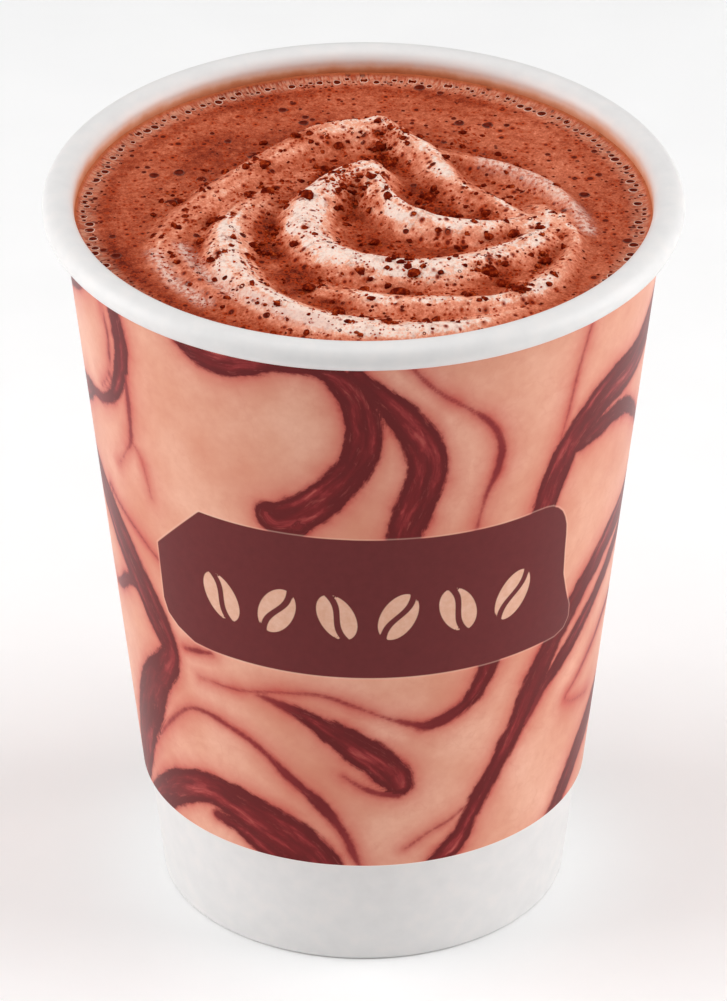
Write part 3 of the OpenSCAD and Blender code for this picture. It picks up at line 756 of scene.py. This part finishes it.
cream = {
    "drawnR": 32.5,
    "skin": 0.6,          # how deep the cream's piece reaches into the drink
    "edgeFade": 3.0,      # the outermost cream thins out over this width
    "rings": 112,
    "columns": 640,
    # [centre x, centre y, start angle, end angle, crest radii,
    #  crest heights, reach out, reach in, paleness]
    "folds": [
        [3, 3.3, 203, 92, [35, 30.2, 26.1, 23.9, 24, 26, 26.2],
         [0.1, 0.25, 0.4, 0.52, 0.6, 0.68, 0.7], 3.4, 6.5, [0.5, 0.6, 0.75, 1]],
        [20.6, 25.8, 166, 280, [18.9, 13.9, 11.9, 12.9, 14.7, 17.5, 22.6],
         [0.7, 0.7, 0.62, 0.56, 0.5, 0.44, 0.3], 4.8, 3.4, [1, 1, 0.85, 0.8]],
        [3, 3.3, 101, 360, [12, 10.9, 11.5, 13.2, 14.3, 17.8, 23.5],
         [1, 0.88, 0.76, 0.68, 0.64, 0.56, 0.38], 5, 5.8, [1, 1.05, 1.05, 0.85]],
        [15.4, 17.6, 203, 296, [15.2, 16, 17, 17.4, 17.2, 16.8],
         [1, 0.92, 0.82, 0.7, 0.58, 0.36], 4.6, 3.6, [1, 1.05, 0.95, 0.8]],
        [3, 3.3, 125, 322, [18.4, 18.4, 21.2, 25.2, 28.8, 31, 33, 34.6],
         [0.12, 0.26, 0.46, 0.58, 0.58, 0.48, 0.42, 0.2], 4.6, 5.4, [0.5, 0.9, 1, 0.9]],
        [3, 3.3, 246, 368, [20.5, 22.2, 24.2, 28, 28.4, 27.2, 22],
         [0.2, 0.36, 0.42, 0.44, 0.42, 0.38, 0.3], 3, 3.4, [0.7, 0.8, 0.8, 0.65]],
        [3, 3.3, 72, -14, [21.5, 21.2, 22.9, 25.3, 27.8, 30],
         [0.24, 0.4, 0.44, 0.4, 0.3, 0.14], 2.4, 3, [0.4, 0.6, 0.6, 0.4]],
        [3, 3.3, 190, 256, [30, 30.8, 31.6, 33.5],
         [0.1, 0.24, 0.24, 0.12], 1.8, 2.6, [0.4, 0.5, 0.5]],
    ],
    # places thick with cocoa: [x, y, radius, strength], measured from the cup's axis
    "dustings": [[-1.5, 4.5, 3.6, 1.0], [-1.5, 0, 3, 0.7], [1.5, -8.5, 3, 0.6], [3, 20, 2.6, 0.9],
                 [2.6, 15, 2.2, 0.9], [-5, 10.5, 2.6, 0.8], [7.6, 5.6, 2, 0.9], [11, 0.6, 2.2, 0.9],
                 [16, -1.4, 2, 0.7], [-13, -4, 3, 0.9], [-12.5, -11, 3, 1.0], [-9.4, -17.4, 3, 0.9],
                 [-4, -25, 3.4, 0.8], [-13, 5, 3.4, 0.6], [-20.6, -2, 3, 0.7], [-22, -10, 3, 0.5],
                 [9, -11, 4.4, 0.5], [18, -17, 3.4, 0.7], [6, -20.5, 3, 0.5], [17, -22, 3, 0.4],
                 [25, -13, 3, 0.5]],
    # wet streaks, which carry painted sheen and highlight, as lines of points from the cup's axis
    "wetGlintReach": 1.0,
    "wetGlintLines": [[(17, 13.4), (22.5, 9.6), (26.6, 5.6), (30, 0), (31.4, -5)],
                 [(-25.4, -10), (-22.6, -17), (-18.4, -23.4), (-11.6, -30), (-5, -33.6)],
                 [(-29, -12), (-26.5, -19), (-22, -25)]],
}


drink = {
    "rows": 46,
    "wallRows": 14, "wallBand": 2.0,        # finer rows beside the wall
    "intoWall": 0.06,
    "climb": 0.5, "climbReach": 1.4,        # where it wets the wall
}
# How pale the froth is, from 0 for cocoa to 1 for clean cream, with painted light and shade mixed in.
tones = {
    "drink": 0.31,
    "arcs": 0.2,          # slow bands round the cup
    "wave": 0.12,
    # painted light: the right side, the cream at the front left and the crests are made paler where light
    # falls
    "right": 0.07,        # how much paler the right side is
    "frontLeftLight": 0.1,     # and the cream at the front left
    "crest": 0.64,
    "streaks": 0.4,       # drawn out along the folds
    "cocoa": 0.42,        # how much laid cocoa darkens it
    # painted shade: a darker band in the drink at the back left, inside the froth ring
    "backShadeBand": 0.13,     # a darker band of drink at the back left
}


def creamShape(x, y):
    # the cream's lift above the drink as a share of its peak, how pale it is, and its streaks
    scale = cream["drawnR"] / creamR
    u, v = (x - creamMiddle.x) * scale, (y - creamMiddle.y) * scale
    total = np.zeros(x.shape)
    pale = np.zeros(x.shape)
    flowAlong, flowAcross = np.zeros(x.shape), np.zeros(x.shape)
    for number, fold in enumerate(cream["folds"]):
        cx, cy, start, end, radii, heights, reachOut, reachIn, paleness = fold
        dx, dy = u - cx, v - cy
        angle = np.degrees(np.arctan2(dy, dx))
        share = (angle - start) / (end - start)
        for turn in (-360, 360):
            other = (angle + turn - start) / (end - start)
            share = np.where(np.abs(other - 0.5) < np.abs(share - 0.5), other, share)
        inside = np.clip(share, 0, 1)
        crest = alongList(radii, inside)
        crestAngle = np.radians(start + (end - start) * inside)
        endGap = np.hypot(dx - crest * np.cos(crestAngle), dy - crest * np.sin(crestAngle))
        off = np.hypot(dx, dy) - crest
        gap = np.where(share == inside, np.abs(off), endGap)
        rest = np.clip(1 - (gap / np.where(off > 0, reachOut, reachIn)) ** 2, 0, 1)
        total += (alongList(heights, inside) * rest ** 2) ** 4
        paleHere = alongList(paleness, inside) * rest ** 1.1
        leads = paleHere > pale
        pale = np.where(leads, paleHere, pale)
        flowAlong = np.where(leads, inside * math.radians(abs(end - start)) * 20 + 50 * number, flowAlong)
        flowAcross = np.where(leads, off, flowAcross)
    return np.minimum(total ** 0.25, 1), pale, softNoise(flowAlong, flowAcross * 6, 3.4, 9) - 0.5


def lineGap(x, y, line):
    # distance from points to a line of points
    nearest = np.full(x.shape, 99.0)
    for (ax, ay), (bx, by) in zip(line, line[1:]):
        dx, dy = bx - ax, by - ay
        s = np.clip(((x - ax) * dx + (y - ay) * dy) / (dx * dx + dy * dy), 0, 1)
        nearest = np.minimum(nearest, np.hypot(x - ax - s * dx, y - ay - s * dy))
    return nearest


def surface(x, y):
    # height and looks of the whole surface, at points from the cup's axis
    lift, pale, streaks = creamShape(x, y)
    fromMiddle = np.hypot(x - creamMiddle.x, y - creamMiddle.y)
    edge = smooth((creamR - fromMiddle) / cream["edgeFade"])
    wave = softNoise(x, y, 7, 3) - 0.5
    ripple = softNoise(x, y, 1.5, 5) - 0.5
    grain = softNoise(x, y, 0.6, 7) - 0.5
    wallGap = wallIn(level) - np.hypot(x, y)
    z = level + (creamTop - level) * 0.95 * lift * edge
    z = z + 0.14 * wave + (0.07 + 0.2 * edge * pale) * ripple
    z = z + 0.08 * grain * (0.4 + edge) + 0.12 * streaks * pale * edge
    climb = np.clip(1 - wallGap / drink["climbReach"], 0, 1)
    z = z + drink["climb"] * climb ** 2.2
    cocoaLaid = np.zeros(x.shape)
    for cx, cy, size in crumbs["large"]:
        away = ((x - cx) ** 2 + (y - cy) ** 2) / (1.7 * size) ** 2
        cocoaLaid = np.maximum(cocoaLaid, 0.7 * np.exp(-away))
    for dx, dy, reach, strength in cream["dustings"]:
        away = ((x - dx) ** 2 + (y - dy) ** 2) / reach ** 2
        cocoaLaid = np.maximum(cocoaLaid, strength * np.exp(-away))
    wet = np.zeros(x.shape)
    for line in cream["wetGlintLines"]:
        wet = np.maximum(wet, np.exp(-(lineGap(x, y, line) / cream["wetGlintReach"]) ** 2))
    arcs = softNoise(fromMiddle + 2.2 * wave, np.arctan2(y, x) * 8, 3.2, 13) - 0.5
    # painted light: the front left and the right side are made paler, as more lit
    frontLeftLight = smooth(0.5 - (x + 1.6 * y) / 60)
    lightOnRight = smooth(0.4 + x / 70)
    tone = tones["drink"] + tones["arcs"] * arcs + tones["wave"] * wave + tones["right"] * lightOnRight
    # the crests' paleness is partly the clean cream's own colour and partly a painted highlight
    crest = (tones["crest"] + 0.08 * frontLeftLight) * pale ** 1.9
    crest = crest + tones["streaks"] * streaks * (0.25 + pale)
    tone = tone + edge * (0.02 + tones["frontLeftLight"] * frontLeftLight + crest)
    tone = tone - tones["cocoa"] * cocoaLaid * (1 - 0.4 * pale)
    # painted shade: a darker band of drink at the back left, a few millimetres in from the wall
    backLeftShade = smooth(0.6 + (y - 1.4 * x) / 90)
    tone = tone - tones["backShadeBand"] * backLeftShade * np.exp(-((wallGap - 4.4) / 1.1) ** 2)
    dust = 0.3 + 0.5 * (softNoise(x, y, 4, 11) - 0.5) + cocoaLaid
    dust = np.clip(dust * (0.5 + 0.6 * edge), 0, 1.5)
    tone = np.clip(tone, 0, 1)
    return z, {"tone": tone, "dust": dust, "wet": wet, "wallGap": wallGap, "turn": np.arctan2(y, x)}


rings = np.linspace(0, 1, cream["rings"] + 1)[1:]
angles = np.linspace(0, 2 * math.pi, cream["columns"], endpoint=False)
x = creamMiddle.x + creamR * rings[:, None] * np.cos(angles)
y = creamMiddle.y + creamR * rings[:, None] * np.sin(angles)
z, looks = surface(x, y)
edgeX, edgeY, edgeZ = x[-1], y[-1], z[-1]
columns = cream["columns"]
top = np.stack([x, y, z], -1).reshape(-1, 3)
skirt = np.stack([edgeX, edgeY, 0 * edgeX + level - cream["skin"]], -1)
hubZ, hubLooks = surface(np.array([creamMiddle.x]), np.array([creamMiddle.y]))
creamPoints = np.concatenate([top, skirt, [[creamMiddle.x, creamMiddle.y, hubZ[0]]]])
hub = len(creamPoints) - 1
faces = [list(reversed(f)) for f in gridFaces(cream["rings"] + 1, columns)]
faces += [[i, (i + 1) % columns, hub] for i in range(columns)]
faces += [[len(top) + i for i in reversed(range(columns))]]
looks = {name: np.concatenate([value.ravel(), value[-1], hubLooks[name]]) for name, value in looks.items()}
makePiece("creamSwirl", creamPoints, faces, frothedChocolate("cocoaStainedCream", 0.6),
          ("cream_swirl",), looks)

# The drink's open surface runs from the cream's edge to just inside the board of the wall.
wallR = wallIn(level + 0.5) + drink["intoWall"]
inner = np.stack([edgeX, edgeY], -1)
bandR = wallR - drink["wallBand"]
band = bandR * np.stack([np.cos(angles), np.sin(angles)], -1)
innerR = np.hypot(inner[:, 0], inner[:, 1])
band = np.where((innerR > bandR - 0.4)[:, None], inner * ((innerR + 0.15) / innerR)[:, None], band)
rows = [inner + (band - inner) * s for s in np.linspace(0, 1, drink["rows"])[1:]]
wallCircle = wallR * np.stack([np.cos(angles), np.sin(angles)], -1)
rows += [band + (wallCircle - band) * s for s in np.linspace(0, 1, drink["wallRows"])[1:]]
open2d = np.stack([inner] + rows)
x, y = open2d[..., 0], open2d[..., 1]
z, looks = surface(x, y)
z[0] = edgeZ
lowR = wallIn(10)
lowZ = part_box("drink")[0].z / mm
deep = np.stack([lowR * np.cos(angles), lowR * np.sin(angles), 0 * angles + lowZ], -1)
under = np.stack([edgeX, edgeY, 0 * edgeX + level - cream["skin"]], -1)
drinkPoints = np.concatenate([under, np.stack([x, y, z], -1).reshape(-1, 3), deep])
faces = [list(reversed(f)) for f in gridFaces(len(open2d) + 2, columns)]
faces += [list(range(columns)), [len(drinkPoints) - columns + i for i in reversed(range(columns))]]
looks = {name: np.concatenate([value[:1], value, value[-1:]]).ravel() for name, value in looks.items()}
makePiece("hotChocolate", drinkPoints, faces, frothedChocolate("whiskedMilkChocolate", 0.45),
          ("drink",), looks)


bubbles = {
    "seed": 4,
    "ringCount": 185, "ringGap": (0.95, 2.05), "ringSize": (0.3, 0.72),
    "looseCount": 70, "looseSize": (0.28, 0.48),
    "fineCount": 520, "fineSize": (0.15, 0.27),
    # the largest ones, [x, y, radius]
    "large": [[-29.5, 11, 0.65], [-26, 11.8, 0.8], [-22.8, 9.9, 0.7], [-19.2, 21, 0.5], [-8.5, 26.4, 0.65],
              [-11.5, 30.2, 0.6], [-27, 3.2, 0.8], [-34.4, -12, 0.7], [13.6, 26.4, 0.75],
              [17.6, 25.6, 0.7], [22, 6.6, 0.65], [31, 5.4, 0.7], [36.8, -7.6, 0.6], [-15.6, 16.8, 0.9],
              [8, 36.8, 0.75]],
}
# rings of a bubble's skin, outside in: (share of its radius, rise, paleness, which is partly painted
# highlight)
bubbleProfile = [(1.24, -0.25, 0.4), (1.12, 0.1, 0.8), (1.04, 0.2, 1.0),
                 (0.97, 0.17, 0.6), (0.91, 0.08, 0.0), (0.5, 0.02, 0.0)]


def surfaceFrame(x, y):
    # point on the surface and the way it faces there
    step = 0.25
    px = np.array([x, x + step, x - step, x, x])
    py = np.array([y, y, y, y + step, y - step])
    z = surface(px, py)[0]
    normal = Vector(((z[2] - z[1]) / (2 * step), (z[4] - z[3]) / (2 * step), 1)).normalized()
    return Vector((x, y, float(z[1:].mean()))), normal


def addBubble(points, faces, rims, x, y, size, sides, rng, radial):
    place, normal = surfaceFrame(x, y)
    turnTo = Vector((0, 0, 1)).rotation_difference(normal)
    first = len(points)
    squeeze = rng.uniform(0.75, 0.95) if radial else rng.uniform(0.85, 1.0)
    heading = rng.uniform(0, math.pi)
    # bubbles crowded at the wall are drawn out towards it
    lieAlong = Matrix.Rotation(math.atan2(y, x) if radial else heading, 3, "Z")
    for share, rise, rim in bubbleProfile:
        for i in range(sides):
            a = 2 * math.pi * i / sides
            wobble = 1 + 0.05 * math.sin(3 * a + heading)
            out = share * size * wobble
            offset = Vector((out * math.cos(a), out * squeeze * math.sin(a), rise * size * 0.55))
            points.append(place + turnTo @ (lieAlong @ offset))
            rims.append(rim if radial else 0.1 * rim)
    rowCount = len(bubbleProfile)
    for row in range(rowCount - 1):
        for i in range(sides):
            a, b = first + row * sides + i, first + row * sides + (i + 1) % sides
            faces.append([a, b, b + sides, a + sides])
    last = first + (rowCount - 1) * sides
    faces.append([last + i for i in range(sides)])


def makeBubbles():
    rng = random.Random(bubbles["seed"])
    points, faces, rims = [], [], []
    wall = wallIn(level)
    spots = [(x, y, size, 20) for x, y, size in bubbles["large"]]
    for i in range(bubbles["ringCount"]):
        turn = 2 * math.pi * (i + rng.uniform(-0.2, 0.2)) / bubbles["ringCount"]
        r = wall - rng.uniform(*bubbles["ringGap"])
        spots.append((r * math.cos(turn), r * math.sin(turn), rng.uniform(*bubbles["ringSize"]), 14))
    for kind, sides in (("loose", 12), ("fine", 7)):
        sizes = bubbles[kind + "Size"]
        for i in range(bubbles[kind + "Count"]):
            turn = rng.uniform(0, 2 * math.pi)
            r = (wall - 2) * math.sqrt(rng.uniform(0.05, 1))
            if sides == 7 and rng.random() < 0.5:
                r = wall - rng.uniform(1.0, 3.6)
            spots.append((r * math.cos(turn), r * math.sin(turn), rng.uniform(*sizes), sides))
    kept = []
    for x, y, size, sides in spots:
        if math.hypot(x, y) > wall - 0.35 - size:
            continue
        crowding = 1.02 if sides == 14 else 1.1
        if all((x - a) ** 2 + (y - b) ** 2 > (crowding * (size + c)) ** 2 for a, b, c in kept):
            kept.append((x, y, size))
            addBubble(points, faces, rims, x, y, size, sides, rng, sides == 14)
    makePiece("frothBubbles", points, faces, bubbleFilm(), (), {"rim": rims})


makeBubbles()


def crumbShape(rng, levels):
    # corners and faces of one broken crumb
    t = (1 + math.sqrt(5)) / 2
    # it starts as an icosahedron
    corners = [(-1, t, 0), (1, t, 0), (-1, -t, 0), (1, -t, 0), (0, -1, t), (0, 1, t),
               (0, -1, -t), (0, 1, -t), (t, 0, -1), (t, 0, 1), (-t, 0, -1), (-t, 0, 1)]
    corners = [Vector(corner).normalized() for corner in corners]
    faces = [(0, 11, 5), (0, 5, 1), (0, 1, 7), (0, 7, 10), (0, 10, 11),
             (1, 5, 9), (5, 11, 4), (11, 10, 2), (10, 7, 6), (7, 1, 8),
             (3, 9, 4), (3, 4, 2), (3, 2, 6), (3, 6, 8), (3, 8, 9),
             (4, 9, 5), (2, 4, 11), (6, 2, 10), (8, 6, 7), (9, 8, 1)]
    for _ in range(levels):
        middles = {}
        finer = []
        for a, b, c in faces:
            m = []
            for p, q in ((a, b), (b, c), (c, a)):
                key = (min(p, q), max(p, q))
                if key not in middles:
                    middles[key] = len(corners)
                    corners.append((corners[p] + corners[q]).normalized())
                m.append(middles[key])
            finer += [(a, m[0], m[2]), (b, m[1], m[0]), (c, m[2], m[1]), tuple(m)]
        faces = finer
    # a few flat breaks cut the round form down
    breaks = []
    for _ in range(6):
        way = Vector((rng.gauss(0, 1), rng.gauss(0, 1), rng.gauss(0, 1))).normalized()
        breaks.append((way, rng.uniform(0.45, 0.8)))
    shaped = []
    for corner in corners:
        cuts = [depth / corner.dot(way) for way, depth in breaks if corner.dot(way) > depth]
        reach = min([1.0] + cuts)
        shaped.append(corner * reach * rng.uniform(0.94, 1.04))
    return shaped, faces


def scatterCrumbs(name, spots, levels, kinds, seed, flatness, material):
    rng = random.Random(seed)
    shapes = [crumbShape(rng, levels) for _ in range(kinds)]
    points, faces = [], []
    for x, y, size in spots:
        place, normal = surfaceFrame(x, y)
        corners, shapeFaces = rng.choice(shapes)
        spin = Matrix.Rotation(rng.uniform(0, 6.28), 3, "Z")
        spin = spin @ Matrix.Rotation(rng.uniform(0, 6.28), 3, "X")
        stretch = (rng.uniform(0.85, 1.25), rng.uniform(0.75, 1.05), flatness * rng.uniform(0.8, 1.2))
        first = len(points)
        sink = rng.uniform(-0.3, 0.3) * size * flatness
        for corner in corners:
            c = spin @ corner
            point = place + normal * sink + c * Vector(stretch) * size
            point.z = min(point.z, cupTop - 0.02)
            points.append(point)
        faces += [[first + a, first + b, first + c] for a, b, c in shapeFaces]
    makePiece(name, points, faces, material)


def crumbSpots():
    rng = random.Random(crumbs["seed"])
    nibs, grains = [], []
    nibSize, grainSize = crumbs["nibSize"], crumbs["grainSize"]
    for x, y, reach, nibCount, grainCount in crumbs["clusters"]:
        for spots, count, sizes in ((nibs, nibCount, nibSize), (grains, grainCount, grainSize)):
            for _ in range(count):
                spots.append((rng.gauss(x, reach * 0.5), rng.gauss(y, reach * 0.55), rng.uniform(*sizes)))
    for spots, count, sizes in ((nibs, crumbs["nibs"], nibSize), (grains, crumbs["grains"], grainSize)):
        for _ in range(count):
            turn = rng.uniform(0, 2 * math.pi)
            r = creamR * 0.93 * math.sqrt(rng.random())
            # small ones are commoner
            size = sizes[0] + (sizes[1] - sizes[0]) * rng.random() ** 1.6
            spots.append((creamMiddle.x + r * math.cos(turn), creamMiddle.y + r * math.sin(turn), size))
    nibs += crumbs["large"]
    return nibs, grains


nibSpots, grainSpots = crumbSpots()
nibShades = [(0.3, "#420802"), (0.48, "#661405"), (0.58, "#963010"), (0.7, "#c45c2c")]
powderShades = [(0.3, "#962a10"), (0.6, "#b5421c"), (0.75, "#cc6638")]
scatterCrumbs("cocoaNibs", nibSpots, 2, 14, 21, 0.75, crushedCocoa("crushedCocoaNibs", nibShades))
scatterCrumbs("cocoaGrains", grainSpots, 0, 10, 22, 0.85, crushedCocoa("cocoaPowder", powderShades))


camera = {"aim": (0, 0, 59), "distance": 1599.9, "elevation": 30.8, "lens": 404.87}
cameraData = bpy.data.cameras.new("camera")
cameraData.lens = camera["lens"]
cameraData.sensor_width = 36
cameraObject = bpy.data.objects.new("camera", cameraData)
bpy.context.scene.collection.objects.link(cameraObject)
rise = math.radians(camera["elevation"])
away = Vector((0, -math.cos(rise), math.sin(rise))) * camera["distance"]
cameraObject.location = (Vector(camera["aim"]) + away) * mm
cameraObject.rotation_euler = (-away).to_track_quat("-Z", "Y").to_euler()
bpy.context.scene.camera = cameraObject

lights = {
    # name: (place, aim, width, height, watts)
    "softLeft": ((-0.62, -0.03, 0.34), (0, 0, 0.06), 0.5, 0.6, 3.1),
    "softRight": ((0.62, -0.03, 0.34), (0, 0, 0.06), 0.5, 0.6, 3.1),
    "softTop": ((0.0, -0.1, 0.9), (0, 0, 0.1), 0.6, 0.45, 1.25),
}
for name, (place, aim, width, height, watts) in lights.items():
    data = bpy.data.lights.new(name, "AREA")
    data.shape = "RECTANGLE"
    data.size, data.size_y = width, height
    data.energy = watts
    light = bpy.data.objects.new(name, data)
    light.location = place
    light.rotation_euler = (Vector(aim) - Vector(place)).to_track_quat("-Z", "Y").to_euler()
    bpy.context.scene.collection.objects.link(light)

# a broad, soft light from high up keeps the floor evenly white
ceiling = bpy.data.lights.new("ceiling", "SUN")
ceiling.energy = 0.35
ceiling.angle = math.radians(70)
ceilingObject = bpy.data.objects.new("ceiling", ceiling)
ceilingObject.rotation_euler = (math.radians(2), 0, 0)
bpy.context.scene.collection.objects.link(ceilingObject)

world = bpy.data.worlds.new("studio")
bpy.context.scene.world = world
world.use_nodes = True
world.node_tree.nodes["Background"].inputs["Color"].default_value = (1, 1, 1, 1)
world.node_tree.nodes["Background"].inputs["Strength"].default_value = 0.34
bpy.context.scene.view_settings.view_transform = "Standard"

floorMesh = bpy.data.meshes.new("floor")
floorMesh.from_pydata([(-3, -3, 0), (3, -3, 0), (3, 3, 0), (-3, 3, 0)], [], [(0, 1, 2, 3)])
floorMesh.materials.append(whiteStudioPaper())
floor = bpy.data.objects.new("floor", floorMesh)
floor.location.z = cadBox[0].z - 0.00005
bpy.context.scene.collection.objects.link(floor)
